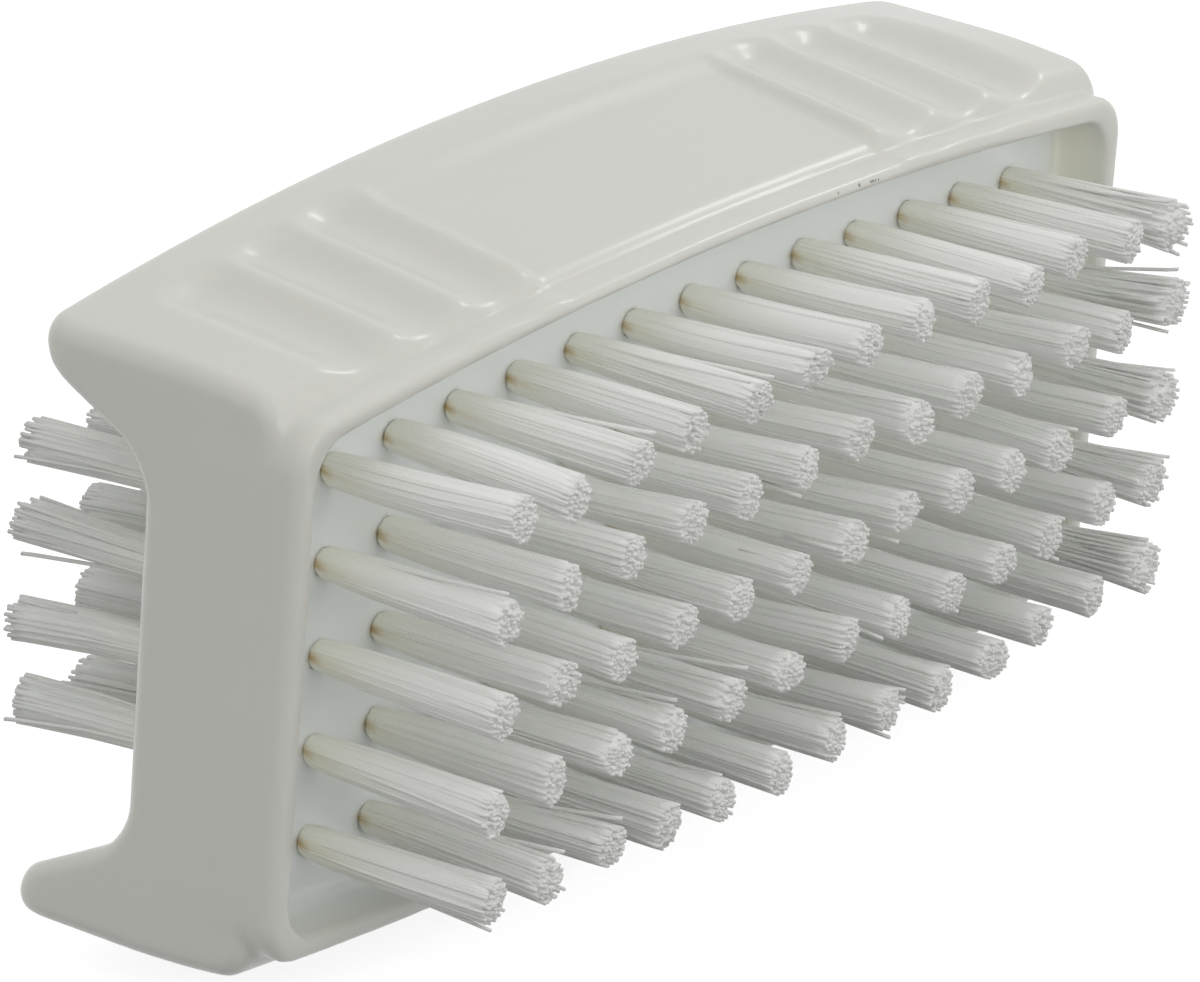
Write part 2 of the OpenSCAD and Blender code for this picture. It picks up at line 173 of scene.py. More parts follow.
def side_z(x, y):
    """Height of the long side, with its band."""
    return smin(flare_z(x, y), BODY_H / 2 - drop(x, BACK_R), FLARE_BLEND)


def outer_form(x, y, z):
    """The housing with its wings and lip, before anything is cut from it."""
    ax, az = np.abs(x), np.abs(z)
    side = rmax((az - side_z(x, y)) * LEAN_C, STEP_Y - y, SHOULDER_R)
    wing_in = WING_Z - WING_SLOPE * (WING_Y - y) - drop(x, BACK_R)
    channel = rmax((az - wing_in) * WING_COS, WEB_T - y, WING_FILLET_R)
    wings = rmax(y - BACK_Y, -channel, WING_NOSE_R)
    ends = rmax(ax - BODY_L / 2, y - BACK_Y - WING_END_LAP, WING_END_R)
    main = rmax(rmax(side, wings, WING_NOSE_R), ends, EDGE_R)
    lip_end = ax - LIP_L / 2 + LIP_DRAFT * (y + RECESS_DEPTH)
    lip = rmax(az - LIP_HALF_H + drop(x, LIP_R), lip_end, LIP_CORNER_R)
    at_end = np.clip((ax - LIP_L / 2) / LIP_CORNER_R + 1, 0, 1)
    edge_r = LIP_EDGE_R + LIP_END_EDGE_GAIN * at_end * at_end
    lip = rmax(lip, -RECESS_DEPTH - y, edge_r)
    lip = rmax(lip, y - LIP_BACK_Y, LIP_BACK_R)
    return smin(main, lip, LIP_BLEND)


def recess_form(x, y, z):
    draft = RECESS_DRAFT * (y + RECESS_DEPTH)
    top = RECESS_HALF_H - drop(x, RECESS_R) - draft
    walls = rmax(np.abs(z) - top, np.abs(x) - RECESS_L / 2 + draft, RECESS_CORNER_R)
    return rmax(walls, y, RECESS_FLOOR_R)


def scallop_form(x, y, z, x0):
    """One scallop on each long side and towards each end, cut by a round bar."""
    rise = math.atan((side_z(x0, GRIP_BACK_Y) - side_z(x0, 0.0)) / GRIP_BACK_Y)
    mid = GRIP_BACK_Y / 2
    fall = side_z(x0 - SCALLOP_HALF_W, mid) - side_z(x0 + SCALLOP_HALF_W, mid)
    roll = math.atan(fall / (2 * SCALLOP_HALF_W))
    lift = SCALLOP_R - GRIP_DEPTH
    dx = np.abs(x) - x0 - lift * math.sin(roll)
    dz = np.abs(z) - side_z(x0, 0.0) - lift * math.cos(roll)
    axis = np.array([math.sin(rise) * math.sin(roll), math.cos(rise),
                     math.sin(rise) * math.cos(roll)])
    along = dx * axis[0] + y * axis[1] + dz * axis[2]
    out = np.sqrt(np.maximum(dx * dx + y * y + dz * dz - along * along, 0))
    return rmax(out - SCALLOP_R, along - GRIP_BACK_Y / math.cos(rise), GRIP_FILLET_R)


def dish_form(x, y, z):
    floor = flare_z(x, y) - GRIP_DEPTH / LEAN_C
    back_y = y - GRIP_BACK_Y - DISH_BACK
    cut = rmax((floor - np.abs(z)) * LEAN_C, back_y, DISH_FILLET_R)
    return rmax(cut, np.abs(x) - DISH_HALF_L + RIDGE_W / 2, DISH_END_R)


def row_pitch(field, x0):
    """How far apart the rows of one field are in the column at x0."""
    return field.pitch * (1 + field.bow * (1 - (x0 / HALF_ROW_L) ** 2))


def nearest_tuft(field, x, z):
    """Middle of the tuft hole nearest to a place in one field."""
    x0 = np.clip(np.round(x / COLUMN_PITCH), -MID_COLUMN, MID_COLUMN) * COLUMN_PITCH
    pitch = row_pitch(field, x0)
    half = (field.rows - 1) / 2
    row = np.clip(np.round(z / pitch + half), 0, field.rows - 1) - half
    return x0, row * pitch


def hole_form(field, x, y, z):
    x0, z0 = nearest_tuft(field, x, z)
    out = np.hypot(x - x0, z - z0) - HOLE_D / 2
    return np.maximum(out, field.out * (field.floor - y) - HOLE_DEPTH)


def body_form(x, y, z):
    form = rmax(outer_form(x, y, z), -recess_form(x, y, z), RECESS_RIM_R)
    for i in range(SCALLOPS):
        scallop = scallop_form(x, y, z, DISH_HALF_L + (i + 0.5) * RIDGE_PITCH)
        form = rmax(form, -scallop, SCALLOP_RIM_R)
    form = rmax(form, -dish_form(x, y, z), DISH_RIM_R)
    for field in FIELDS:
        form = rmax(form, -hole_form(field, x, y, z), HOLE_RIM_R)
    return form


def surface_net(form, low, high, cell):
    """Vertices and quads on the surface of a form, one vertex to a grid cell."""
    axes = [np.arange(a, b, cell) for a, b in zip(low, high)]
    grid = np.empty([len(a) for a in axes])
    y, z = np.meshgrid(axes[1], axes[2], indexing="ij")
    for i, x in enumerate(axes[0]):
        grid[i] = form(np.full_like(y, x), y, z)
    cells = np.array(grid.shape) - 1
    size = int(np.prod(cells))
    total, count = np.zeros((3, size)), np.zeros(size)
    loops = []
    for k in range(3):
        # Grid edges along axis k that cross the surface, and where they cross it
        u, v = (k + 1) % 3, (k + 2) % 3
        near, far = [slice(None)] * 3, [slice(None)] * 3
        near[k], far[k] = slice(0, -1), slice(1, None)
        a, b = grid[tuple(near)], grid[tuple(far)]
        at = np.argwhere((a < 0) != (b < 0))
        va, vb = a[tuple(at.T)], b[tuple(at.T)]
        point = at.astype(float)
        point[:, k] += va / (va - vb)
        # The four cells round each such edge share the crossing and form a quad
        around = []
        for du, dv in ((0, 0), (-1, 0), (-1, -1), (0, -1)):
            corner = at.copy()
            corner[:, u] += du
            corner[:, v] += dv
            flat = np.ravel_multi_index(tuple(corner.T), cells)
            around.append(flat)
            count += np.bincount(flat, minlength=size)
            for c in range(3):
                total[c] += np.bincount(flat, weights=point[:, c], minlength=size)
        quad = np.stack(around, 1)
        loops.append(np.where((va < 0)[:, None], quad, quad[:, ::-1]))
    used = count > 0
    number = np.cumsum(used) - 1
    verts = (total[:, used] / count[used]).T * cell + low
    return verts, number[np.concatenate(loops)]


# Steps of onto(): how many, the probe's reach, the longest move and the least slope
# (squared) that is trusted
MOVES, PROBE, LONGEST_MOVE, LEAST_SLOPE, TINY = 3, 0.02, 0.35, 0.3, 1e-9


def onto(form, points):
    """Points moved along a form's slope onto its surface."""
    for _ in range(MOVES):
        slope = np.stack([form(*(points + e).T) - form(*(points - e).T)
                          for e in np.eye(3) * PROBE], 1) / (2 * PROBE)
        steep = np.maximum((slope ** 2).sum(1), LEAST_SLOPE)
        move = (form(*points.T) / steep)[:, None] * slope
        length = np.linalg.norm(move, axis=1, keepdims=True)
        points = points - move * np.minimum(1, LONGEST_MOVE / np.maximum(length, TINY))
    return points


def link_object(name, data):
    """A new object of this name and data, in the scene."""
    made = bpy.data.objects.new(name, data)
    bpy.context.scene.collection.objects.link(made)
    return made


def make_piece(name, verts, faces, material, node):
    """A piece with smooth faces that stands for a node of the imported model."""
    mesh = bpy.data.meshes.new(name)
    mesh.from_pydata(placed(verts).tolist(), [], faces)
    mesh.polygons.foreach_set("use_smooth", [True] * len(mesh.polygons))
    mesh.materials.append(material)
    mesh.update()
    piece = link_object(name, mesh)
    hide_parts(node)
    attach(piece, "root")
    return piece


def point_values(piece, name, values):
    """Keep one number for each vertex, for the materials to read by name."""
    layer = piece.data.attributes.new(name, "FLOAT", "POINT")
    layer.data.foreach_set("value", np.asarray(values, np.float32))


# Colours as 8-bit screen values
WHITE_A, WHITE_B, WHITE_FLECK = (216, 217, 211), (221, 220, 213), (214, 211, 201)
# Painted light: lighter colours for the recess's floor and end walls
RECESS_FLOOR_PAINTED_LIGHT, RECESS_WALL_PAINTED_LIGHT = (243, 247, 245), (248, 248, 234)
# The first is a brown mark at each hole, partly painted shade of the hole's gap
GAP_BROWN_AND_SHADE, SPECK = (180, 158, 110), (118, 118, 114)
# Ends of the strands' shade; the back tufts are set near the dark end as painted shade
STRAND_DARK, STRAND_LIGHT = (226, 228, 225), (255, 255, 254)
# The last is a brown mark at each tuft's foot, partly painted shade of the hole's gap
STRAND_LINE, STRAND_ROOT, ROOT_BROWN_AND_SHADE = (245, 246, 240), (251, 250, 238), (204, 178, 120)
BRASS_A, BRASS_B = (196, 160, 92), (170, 132, 70)
# Dark specks on the front of the lip: place and radius
SPECKS = (((11.26, -11.12, 40.46), 0.13), ((13.82, -11.11, 40.41), 0.18),
          ((15.2, -11.11, 40.33), 0.15), ((15.45, -11.11, 40.3), 0.16),
          ((15.75, -11.11, 40.28), 0.13), ((16.1, -11.11, 40.25), 0.12))
# Share of its radius within which a speck is fully dark
SPECK_CORE = 0.5


def new_material(name):
    material = bpy.data.materials.new(name)
    material.use_nodes = True
    tree = material.node_tree
    return material, tree, tree.nodes["Principled BSDF"]


def set_inputs(node, values):
    """Plain values of a node's own sockets, by name."""
    for name, value in values.items():
        node.inputs[name].default_value = value


def noise(tree, scale, detail=2.0, stretch=1.0):
    """Noise of the object's own coordinates, drawn out along Y where stretch is low."""
    where = tree.nodes.new("ShaderNodeTexCoord")
    drawn = tree.nodes.new("ShaderNodeMapping")
    set_inputs(drawn, {"Scale": (1.0, stretch, 1.0)})
    node = tree.nodes.new("ShaderNodeTexNoise")
    set_inputs(node, {"Scale": scale, "Detail": detail})
    tree.links.new(where.outputs["Object"], drawn.inputs["Vector"])
    tree.links.new(drawn.outputs["Vector"], node.inputs["Vector"])
    return node.outputs["Fac"]


def ranged(tree, value, low, high, start=0.3, stop=0.7):
    """A value that runs from start to stop, made to run from low to high.

    The default start and stop are for noise, which is clamped to them.
    """
    node = tree.nodes.new("ShaderNodeMapRange")
    tree.links.new(value, node.inputs["Value"])
    set_inputs(node, {"From Min": start, "From Max": stop, "To Min": low,
                      "To Max": high})
    return node.outputs["Result"]


def linear(screen):
    """Linear colour of 8-bit screen values, for all but near-black ones."""
    return (*(((c / 255 + 0.055) / 1.055) ** 2.4 for c in screen), 1.0)


def blended(tree, fac, a, b):
    """Colour a where fac is 0, b where it is 1; each is a socket or screen values."""
    node = tree.nodes.new("ShaderNodeMix")
    node.data_type = "RGBA"
    tree.links.new(fac, node.inputs["Factor"])
    for socket, colour in ((node.inputs[6], a), (node.inputs[7], b)):
        if isinstance(colour, tuple):
            socket.default_value = linear(colour)
        else:
            tree.links.new(colour, socket)
    return node.outputs[2]


def bumped(tree, shader, height, strength, depth):
    """Bump of the shader by a height, with its depth in millimetres."""
    node = tree.nodes.new("ShaderNodeBump")
    set_inputs(node, {"Strength": strength, "Distance": depth * MM})
    tree.links.new(height, node.inputs["Height"])
    tree.links.new(node.outputs["Normal"], shader.inputs["Normal"])


def attribute(tree, name):
    node = tree.nodes.new("ShaderNodeAttribute")
    node.attribute_name = name
    return node.outputs["Fac"]


def speck(tree, at, radius):
    """1 within a small ball about a place in millimetres, 0 outside it."""
    where = tree.nodes.new("ShaderNodeTexCoord")
    node = tree.nodes.new("ShaderNodeVectorMath")
    node.operation = "DISTANCE"
    tree.links.new(where.outputs["Object"], node.inputs[0])
    node.inputs[1].default_value = [c * MM for c in at]
    return ranged(tree, node.outputs["Value"], low=1, high=0,
                  start=SPECK_CORE * radius * MM, stop=radius * MM)


def plastic():
    material, tree, shader = new_material("white_plastic")
    clouds = ranged(tree, noise(tree, scale=45), low=0, high=1, start=0, stop=1)
    colour = blended(tree, clouds, WHITE_A, WHITE_B)
    flecks = ranged(tree, noise(tree, scale=380), low=0, high=0.25, start=0, stop=1)
    colour = blended(tree, flecks, colour, WHITE_FLECK)
    # Painted light in the recess, then a brown mark at each hole, partly painted shade
    for name, tint in (("floor_painted_light", RECESS_FLOOR_PAINTED_LIGHT), ("warm", RECESS_WALL_PAINTED_LIGHT), ("gap_brown_and_shade", GAP_BROWN_AND_SHADE)):
        colour = blended(tree, attribute(tree, name), colour, tint)
    for at, radius in SPECKS:
        colour = blended(tree, speck(tree, at, radius), colour, SPECK)
    tree.links.new(colour, shader.inputs["Base Color"])
    # Below a roughness of about 0.275 the renders showed blotches
    rough = ranged(tree, noise(tree, scale=120), low=0.285, high=0.37, start=0, stop=1)
    tree.links.new(rough, shader.inputs["Roughness"])
    set_inputs(shader, {"Subsurface Weight": 0.25, "Subsurface Scale": 1.5 * MM,
                        "Subsurface Radius": (1.0, 0.95, 0.8), "IOR": 1.49,
                        "Coat Weight": 0.25, "Coat Roughness": 0.12})
    bumped(tree, shader, noise(tree, scale=500), strength=0.08, depth=0.04)
    return material


def nylon():
    material, tree, shader = new_material("nylon_filament")
    # Shade by strand at random, set low on the back tufts as painted shade
    shade = ranged(tree, attribute(tree, "shade"), low=0, high=1, start=0, stop=1)
    colour = blended(tree, shade, STRAND_DARK, STRAND_LIGHT)
    fibres = noise(tree, scale=3400, stretch=0.05)
    lines = ranged(tree, fibres, low=0, high=0.7)
    colour = blended(tree, lines, colour, STRAND_LINE)
    # Yellow tint of the roots, then a brown mark at each foot, partly painted shade
    for name, tint in (("root", STRAND_ROOT), ("root_brown_and_shade", ROOT_BROWN_AND_SHADE)):
        colour = blended(tree, attribute(tree, name), colour, tint)
    tree.links.new(colour, shader.inputs["Base Color"])
    rough = ranged(tree, noise(tree, scale=900), low=0.5, high=0.65)
    tree.links.new(rough, shader.inputs["Roughness"])
    set_inputs(shader, {"Specular IOR Level": 0.25, "IOR": 1.53})
    bumped(tree, shader, fibres, strength=0.2, depth=0.06)
    return material


def brass():
    material, tree, shader = new_material("brass_wire")
    tarnish = ranged(tree, noise(tree, scale=900, detail=4), low=0, high=1)
    colour = blended(tree, tarnish, BRASS_A, BRASS_B)
    tree.links.new(colour, shader.inputs["Base Color"])
    rough = ranged(tree, noise(tree, scale=2400, detail=3), low=0.3, high=0.45)
    tree.links.new(rough, shader.inputs["Roughness"])
    set_inputs(shader, {"Metallic": 1.0})
    bumped(tree, shader, noise(tree, scale=3000, detail=3), strength=0.2, depth=0.02)
    return material


# The moulded body: the grid's cell, and how far the grid passes the body's lowest and
# highest corners, by amounts that keep its flat faces off the grid's own planes
CELL, LOW_MARGIN, HIGH_MARGIN = 0.4, np.array([1.07, 1.13, 1.07]), 1.2
# Middle of the brown mark at one side of each hole, partly painted shade of the hole's
# gap, seen from the hole's middle
GAP_MARK_X, GAP_MARK_Z = -0.9, 0.1
# The brown mark on the plastic, partly painted shade of the hole's gap: radius, how far
# past the face it starts to fade and how fast, its strength and the most that it may be
GAP_MARK_R, GAP_MARK_REACH, GAP_MARK_FADE, GAP_MARK_SHARE, GAP_MARK_MOST = 0.32, 0.2, 0.6, 0.5, 0.95
# Painted light in the recess: its floor and end walls are coloured lighter than the
# plastic, cool on the floor and warm on the walls. How far past its walls and its floor
# it reaches, how far in from the end walls theirs is full, and the width over which it
# then gives way
PAINTED_LIGHT_PAST_WALL, PAINTED_LIGHT_PAST_FLOOR, PAINTED_LIGHT_LAP, PAINTED_LIGHT_BLEND = 0.1, 0.2, 0.5, 1.0


def make_body(material):
    low = -np.array([LIP_L / 2, RECESS_DEPTH, BODY_H / 2]) - LOW_MARGIN
    high = np.array([LIP_L / 2, BACK_Y, BODY_H / 2]) + HIGH_MARGIN
    verts, quads = surface_net(body_form, low, high, CELL)
    verts = onto(body_form, verts)
    piece = make_piece("moulded_body", verts, quads.tolist(), material, "body")
    x, y, z = verts.T
    # A brown mark at the -X side of each hole, partly painted shade of its gap
    gap_brown_and_shade = np.zeros(len(verts))
    for field in FIELDS:
        x0, z0 = nearest_tuft(field, x, z)
        away = np.hypot(x - x0 - GAP_MARK_X, z - z0 - GAP_MARK_Z)
        deep = np.maximum(np.abs(y - field.floor) - GAP_MARK_REACH, 0)
        gap_brown_and_shade += np.exp(-(away / GAP_MARK_R) ** 2) * np.exp(-(deep / GAP_MARK_FADE) ** 2)
    point_values(piece, "gap_brown_and_shade", np.clip(gap_brown_and_shade * GAP_MARK_SHARE, 0, GAP_MARK_MOST))
    # Painted light in the recess: cool on its floor, warm on its end walls
    past_end = np.abs(x) - RECESS_L / 2
    past_side = np.abs(z) - RECESS_HALF_H + drop(x, RECESS_R)
    inside = np.maximum(past_end, past_side) < PAINTED_LIGHT_PAST_WALL
    inside &= y < PAINTED_LIGHT_PAST_FLOOR
    sunk = np.clip((y + RECESS_DEPTH) / RECESS_DEPTH, 0, 1)
    wall = np.clip((past_end + PAINTED_LIGHT_LAP + PAINTED_LIGHT_BLEND) / PAINTED_LIGHT_BLEND, 0, 1)
    point_values(piece, "warm", np.where(inside, wall * sunk ** 0.5, 0))
    point_values(piece, "floor_painted_light", np.where(inside, (1 - wall) * sunk, 0))


# The tufts: outer strands in full, inner ones only near the tip where they show, and
# inside them the heart, one body for all that is packed closely
OUTER, INNER, SIDES, HEART_SIDES = 38, 52, 5, 20
ROOT_STRAND_R, TIP_STRAND_R, STRAND_R_SHARES = 0.1, 0.145, (0.9, 1.1)
# Levels along a strand: millimetres below the floor as negative numbers, and shares
# of its length above it
LEVELS = np.array([-2.9, -0.8, 0.0, 0.025, 0.08, 0.3, 0.6, 0.94, 1.0])
END_LEVELS = np.array([0.7, 0.9, 1.0])
# Number of the level at the floor
FLOOR_LEVEL = 2
# Radius of a tuft at the floor, where it cuts into the rim of its hole, the power by
# which it widens from there, and how much slimmer it is a millimetre down its hole
ROOT_R, WIDENING, HOLE_SQUEEZE = 0.87, 0.33, 0.2
# Draws for a whole tuft: lean of its tip, shift of its root, its section's squash, how
# much it is cut short, and tilt of its end
LEAN_DRAW, SHIFT_DRAW, SQUASH_DRAW, CUT_DRAW, TILT_DRAW = 0.22, 0.05, 0.05, 0.25, 0.12
# Share of the root's shift that a tuft has in its hole
HOLE_SHIFT_SHARE = 0.4
# Draws for single strands: place of the outer ones round the tuft, as a share of
# their spacing, and out from its middle, place of the inner ones, bend on the way,
# and splay at the tip
TURN_DRAW, RING_DRAW, DISC_DRAW, BEND_DRAW = 0.22, 0.02, 0.05, 0.04
OUTER_SPLAY, INNER_SPLAY = 0.07, 0.05
# Shares of the tuft's radius at which the outer and the outermost inner strands stand
OUTER_RING, INNER_DISC = 0.955, 0.84
# What the strands have over the tuft's length before they are cut and made uneven,
# and how much shorter they are at its rim
END_OVER, END_CROWN = 0.2, 0.25
# Share of the strands that stray, and how far out they go
FRONT_STRAY, WORN_STRAY, BACK_STRAY_MOST, STRAY_REACH = 0.015, 0.05, 0.15, (0.3, 1.0)
# The front tufts past this share of the half row are worn: uneven and splayed
WORN_FROM, WORN_UNEVEN, WORN_SPREAD = 0.875, 1.2, 0.3
# The heart reaches just past the middle lines of the outer strands, narrows at its
# end and has a middling shade
HEART_OVER, HEART_CAP, HEART_TONE = 0.04, 0.92, 0.5
# The root's tint: how far up it reaches, and the power by which it fades
ROOT_TINT_TOP, ROOT_TINT_FADE = 0.5, 1.3
# The brown mark's widths on the strands, partly painted shade of the hole's gap, its
# strength by tuft, and its share by level
ROOT_MARK_WIDTH_X, ROOT_MARK_WIDTH_Z, ROOT_MARK_SHARES = 0.4, 0.25, (0.8, 1.1)
ROOT_MARK_LEVELS = ((-0.8, 1.0), (0.0, 1.0), (0.025, 0.9), (0.08, 0.25), (0.3, 0.0))


def disc(rng, count):
    """Evenly spread places in a unit disc, each a little off its place."""
    i = np.arange(count) + 0.5
    r = np.sqrt(i / count)
    a = i * math.pi * (3 - math.sqrt(5)) + rng.uniform(0, 2 * math.pi)
    p = np.stack([r * np.cos(a), r * np.sin(a)], 1)
    return p + rng.normal(0, DISC_DRAW, p.shape)


def tuft_lines(rng, field, x0, z0, near_lean):
    """Middle lines of a tuft's outer and inner strands, and the rings of its heart."""
    ragged = rng.uniform(*field.ragged)
    along = x0 / HALF_ROW_L
    drift = [mid + change * along for mid, change in field.drift]
    lean = rng.normal(0, LEAN_DRAW, 2) + drift
    if near_lean is not None:
        lean[1] = near_lean
    worn = 0.0
    if field is FRONT:
        worn = np.clip((along - WORN_FROM) / (1 - WORN_FROM), 0, 1)
    uneven = 1 + WORN_UNEVEN * worn
    ragged *= uneven
    shift = rng.normal(0, SHIFT_DRAW, 2) + field.shift
    squash = 1 + rng.normal(0, SQUASH_DRAW)
    cut = rng.uniform(0, CUT_DRAW)
    tilt = rng.normal(0, TILT_DRAW, 2)

    def middle(t):
        return shift * (1 if t > 0 else HOLE_SHIFT_SHARE) + lean * t * t

    def radius(level):
        squeeze = HOLE_SQUEEZE * max(min(level, 0.0), -1)
        return ROOT_R + (field.tip_r - ROOT_R) * max(level, 0.0) ** WIDENING + squeeze

    def height(level, reach):
        return field.floor + field.out * (reach * max(level, 0.0) + min(level, 0.0))

    def strands(place, levels, splay):
        count = len(place)
        chance = rng.random(count)
        if field is FRONT:
            stray = chance < FRONT_STRAY + WORN_STRAY * worn
        else:
            stray = chance < rng.uniform(0, BACK_STRAY_MOST)
        spread = rng.normal(0, splay, (count, 2)) * uneven + WORN_SPREAD * worn * place
        spread += stray[:, None] * place * rng.uniform(*STRAY_REACH, (count, 1))
        bend = rng.normal(0, BEND_DRAW, (count, 2))
        reach = field.length + END_OVER - cut - np.abs(rng.normal(0, ragged, count))
        reach -= END_CROWN * (place ** 2).sum(1) + place @ tilt
        lines = np.empty((count, len(levels), 3))
        for k, level in enumerate(levels):
            t = max(level, 0.0)
            p = place * radius(level) * [squash, 1 / squash] + middle(t)
            p = p + spread * t ** 2 + bend * math.sin(math.pi * t)
            lines[:, k, 0] = x0 + p[:, 0]
            lines[:, k, 1] = height(level, reach)
            lines[:, k, 2] = z0 + p[:, 1]
        return lines

    a = (np.arange(OUTER) + rng.normal(0, TURN_DRAW, OUTER)) * 2 * math.pi / OUTER
    ring = OUTER_RING + rng.normal(0, RING_DRAW, (OUTER, 1))
    outer = strands(ring * np.stack([np.cos(a), np.sin(a)], 1), LEVELS, OUTER_SPLAY)
    inner = strands(INNER_DISC * disc(rng, INNER), END_LEVELS, INNER_SPLAY)
    heart = np.empty((len(LEVELS), HEART_SIDES, 3))
    turn = np.arange(HEART_SIDES) * 2 * math.pi / HEART_SIDES
    for k, level in enumerate(LEVELS):
        r = (radius(level) + HEART_OVER) * (HEART_CAP if level == 1.0 else 1.0)
        mx, mz = middle(max(level, 0.0))
        heart[k, :, 0] = x0 + mx + squash * r * np.cos(turn)
        heart[k, :, 1] = height(level, field.length - field.heart_short - cut)
        heart[k, :, 2] = z0 + mz + r / squash * np.sin(turn)
    return outer, inner, heart


def rings_round(rng, lines, levels):
    """Rings of a tube round each middle line."""
    turn = rng.uniform(0, 2 * math.pi, (len(lines), 1, 1))
    a = turn + np.arange(SIDES) * 2 * math.pi / SIDES
    grown = np.clip(levels, 0, 1)[None, :, None] ** 0.5
    r = ROOT_STRAND_R + (TIP_STRAND_R - ROOT_STRAND_R) * grown
    r = r * rng.uniform(*STRAND_R_SHARES, (len(lines), 1, 1))
    rings = np.repeat(lines[:, :, None, :], SIDES, 2)
    rings[..., 0] += r * np.cos(a)
    rings[..., 2] += r * np.sin(a)
    return rings


def tube_faces(count, levels, sides, start, turned):
    """Faces of closed tubes whose rings follow each other from a first vertex."""
    base = start + np.arange(count)[:, None] * levels * sides
    quads = []
    for k in range(levels - 1):
        for s in range(sides):
            a, b = k * sides + s, k * sides + (s + 1) % sides
            quad = [a, b, b + sides, a + sides]
            quads.append(base + np.array(quad[::-1] if turned else quad))
    low = list(range(sides))
    high = [(levels - 1) * sides + s for s in low]
    caps = [low, high[::-1]] if turned else [low[::-1], high]
    caps = [base + np.array(cap) for cap in caps]
    return np.concatenate(quads).tolist() + np.concatenate(caps).tolist()


def make_row(field, row, material):
    """All tufts of one row, as one piece."""
    rng = np.random.default_rng(field.seed + row)
    tufts, places = [], []
    for col in range(COLUMNS):
        x0 = (col - MID_COLUMN) * COLUMN_PITCH
        z0 = (row - (field.rows - 1) / 2) * row_pitch(field, x0)
        near_lean = field.near_lean[row] if field.near_lean and col == 0 else None
        tufts.append(tuft_lines(rng, field, x0, z0, near_lean))
        places.append((x0, z0))
    x0, z0 = (np.array(p).reshape(COLUMNS, 1, 1, 1) for p in zip(*places))
    outer, inner, hearts = (np.array(part) for part in zip(*tufts))
    # Rings by tuft, strand, level and corner
    parts = []
    for lines, levels in ((outer, LEVELS), (inner, END_LEVELS)):
        rings = rings_round(rng, lines.reshape(-1, len(levels), 3), levels)
        parts.append((rings.reshape(COLUMNS, -1, len(levels), SIDES, 3), levels))
    parts.append((hearts[:, None], LEVELS))
    strength = rng.uniform(*ROOT_MARK_SHARES, (COLUMNS, 1, 1, 1))
    verts, faces, shade, root, root_brown_and_shade = [], [], [], [], []
    start = 0
    for rings, levels in parts:
        count, sides = COLUMNS * rings.shape[1], rings.shape[3]
        faces += tube_faces(count, len(levels), sides, start, field is BACK)
        start += rings.size // 3
        verts.append(rings.reshape(-1, 3))
        # Random shade by strand, set low on the back tufts as painted shade
        tone = rng.random(count) if sides == SIDES else np.full(count, HEART_TONE)
        tone = field.tone[0] + field.tone[1] * tone
        shade.append(np.repeat(tone, len(levels) * sides))
        up = np.maximum(levels, 0) / ROOT_TINT_TOP
        fade = np.clip(1 - up, 0, 1) ** ROOT_TINT_FADE
        root.append(np.tile(np.repeat(fade, sides), count))
        # The brown mark on the strands at one side of each hole, partly painted shade
        # of the hole's gap
        foot = FLOOR_LEVEL if levels is LEVELS else 0
        dx = rings[:, :, foot:foot + 1, :, 0] - x0 - GAP_MARK_X
        dz = rings[:, :, foot:foot + 1, :, 2] - z0 - GAP_MARK_Z
        near = np.exp(-(dx / ROOT_MARK_WIDTH_X) ** 2 - (dz / ROOT_MARK_WIDTH_Z) ** 2)
        near = near * np.interp(levels, *zip(*ROOT_MARK_LEVELS))[:, None] * strength
        root_brown_and_shade.append(np.minimum(near, 1).ravel())
    node = f"{field.name}_tufts_{row + 1}"
    piece = make_piece(node + "_strands", np.concatenate(verts), faces, material,
                       node)
    for name, values in (("shade", shade), ("root", root), ("root_brown_and_shade", root_brown_and_shade)):
        point_values(piece, name, np.concatenate(values))


# Floor, world, lamps and camera
FLOOR_TONE, FLOOR_GLOW, FLOOR_HALF = 0.36, 0.86, 4.0
WORLD_STRENGTH = 0.66
# Square soft boxes: name, place and side in metres, power in watts
LAMPS = (("soft_box_top", (-0.25, -0.2, 0.85), 0.8, 0.15),
         ("soft_box_front", (0.35, -0.8, 0.42), 0.8, 0.85),
         ("soft_box_low", (0.0, -0.9, 0.1), 0.5, 1.2),
         ("soft_box_near", (-0.65, -0.45, 0.5), 0.6, 0.35),
         ("soft_box_right", (0.72, -0.1, 0.55), 0.12, 0.3))
LAMP_AIM = (0, 0, 0.02)
# The way that the lamps' squares are turned to, a little off level so that none of
# them faces along it
LAMP_SIDE = (0, 1, 0.01)


def seen(tree):
    """1 for what the camera sees straight on, in gloss or through the part."""
    path = tree.nodes.new("ShaderNodeLightPath")
    total = path.outputs["Is Camera Ray"]
    for name in ("Is Glossy Ray", "Is Transmission Ray"):
        node = tree.nodes.new("ShaderNodeMath")
        node.operation, node.use_clamp = "ADD", True
        tree.links.new(total, node.inputs[0])
        tree.links.new(path.outputs[name], node.inputs[1])
        total = node.outputs[0]
    return total


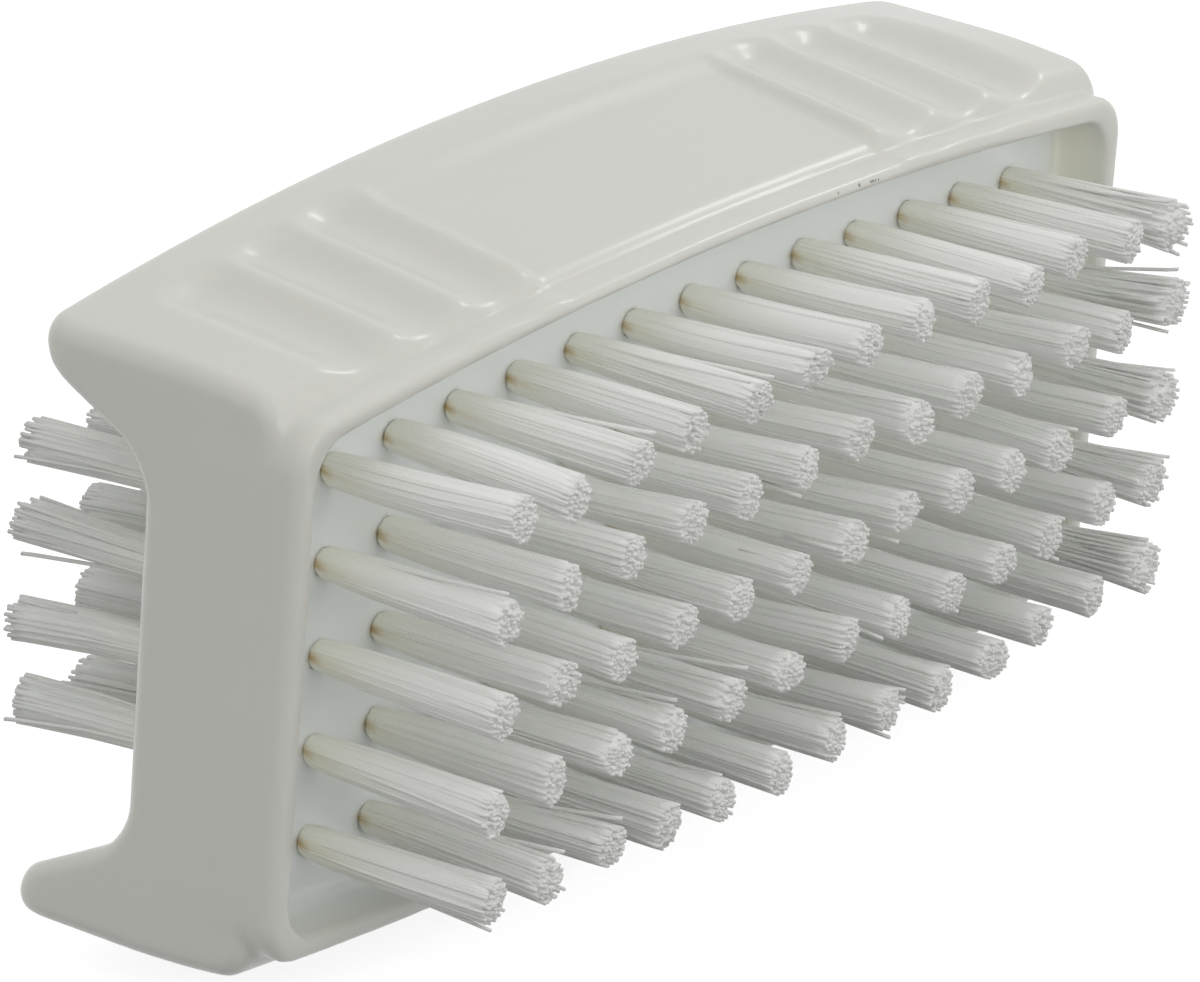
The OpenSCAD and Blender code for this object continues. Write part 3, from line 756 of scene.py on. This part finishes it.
def make_floor():
    material, tree, shader = new_material("floor_white")
    set_inputs(shader, {"Base Color": (FLOOR_TONE, FLOOR_TONE, FLOOR_TONE, 1),
                        "Roughness": 0.9, "Specular IOR Level": 0.1})
    keep = tree.nodes.new("ShaderNodeMath")
    keep.operation = "MULTIPLY"
    keep.inputs[1].default_value = FLOOR_GLOW
    glow = tree.nodes.new("ShaderNodeEmission")
    both = tree.nodes.new("ShaderNodeAddShader")
    tree.links.new(seen(tree), keep.inputs[0])
    tree.links.new(keep.outputs[0], glow.inputs["Strength"])
    tree.links.new(shader.outputs[0], both.inputs[0])
    tree.links.new(glow.outputs[0], both.inputs[1])
    tree.links.new(both.outputs[0], tree.nodes["Material Output"].inputs["Surface"])
    mesh = bpy.data.meshes.new("floor")
    corners = ((-1, -1), (1, -1), (1, 1), (-1, 1))
    mesh.from_pydata([(x * FLOOR_HALF, y * FLOOR_HALF, 0) for x, y in corners], [],
                     [(0, 1, 2, 3)])
    mesh.materials.append(material)
    link_object("floor", mesh)


def make_world():
    """Even light on the object, and plain white behind it."""
    world = bpy.data.worlds.new("studio")
    world.use_nodes = True
    bpy.context.scene.world = world
    tree = world.node_tree
    tree.nodes.clear()
    mix = tree.nodes.new("ShaderNodeMixShader")
    out = tree.nodes.new("ShaderNodeOutputWorld")
    tree.links.new(seen(tree), mix.inputs["Fac"])
    for i, strength in ((1, WORLD_STRENGTH), (2, 1.0)):
        light = tree.nodes.new("ShaderNodeBackground")
        set_inputs(light, {"Color": (1, 1, 1, 1), "Strength": strength})
        tree.links.new(light.outputs[0], mix.inputs[i])
    tree.links.new(mix.outputs[0], out.inputs["Surface"])


def set_axes(made, x, y, z, at):
    """Turn an object's own axes these ways and put it at a place in metres."""
    m = np.eye(4)
    m[:3] = np.stack([x, y, z, at], 1)
    made.matrix_world = Matrix(m.tolist())


def make_lamp(name, at, size, power):
    data = bpy.data.lights.new(name, "AREA")
    data.shape, data.size, data.energy = "SQUARE", size, power
    way = np.array(LAMP_AIM) - np.array(at)
    z = -way / np.linalg.norm(way)
    x = np.cross(LAMP_SIDE, z)
    x /= np.linalg.norm(x)
    set_axes(link_object(name, data), x, np.cross(z, x), z, at)


def make_camera():
    """Camera fitted to the photograph, in the brush's own frame."""
    right = (0.57491, -0.81518, 0.07041)
    down = (-0.25606, -0.26098, -0.93076)
    ahead = (0.77712, 0.51708, -0.35878)
    place = (-443.10, -289.02, 203.20)
    data = bpy.data.cameras.new("photo_camera")
    data.sensor_width, data.lens = 36.0, 255.0
    data.clip_start, data.clip_end = 0.01, 20.0
    camera = link_object("photo_camera", data)
    set_axes(camera, leaned(right), -leaned(down), -leaned(ahead), placed(place))
    bpy.context.scene.camera = camera


make_body(plastic())
strand_material, staple_material = nylon(), brass()
for field in FIELDS:
    for row in range(field.rows):
        make_row(field, row, strand_material)
for name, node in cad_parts.items():
    if "staples" in name:
        node.data.materials.clear()
        node.data.materials.append(staple_material)
make_floor()
make_world()
for lamp in LAMPS:
    make_lamp(*lamp)
make_camera()
bpy.context.scene.view_settings.view_transform = "Standard"
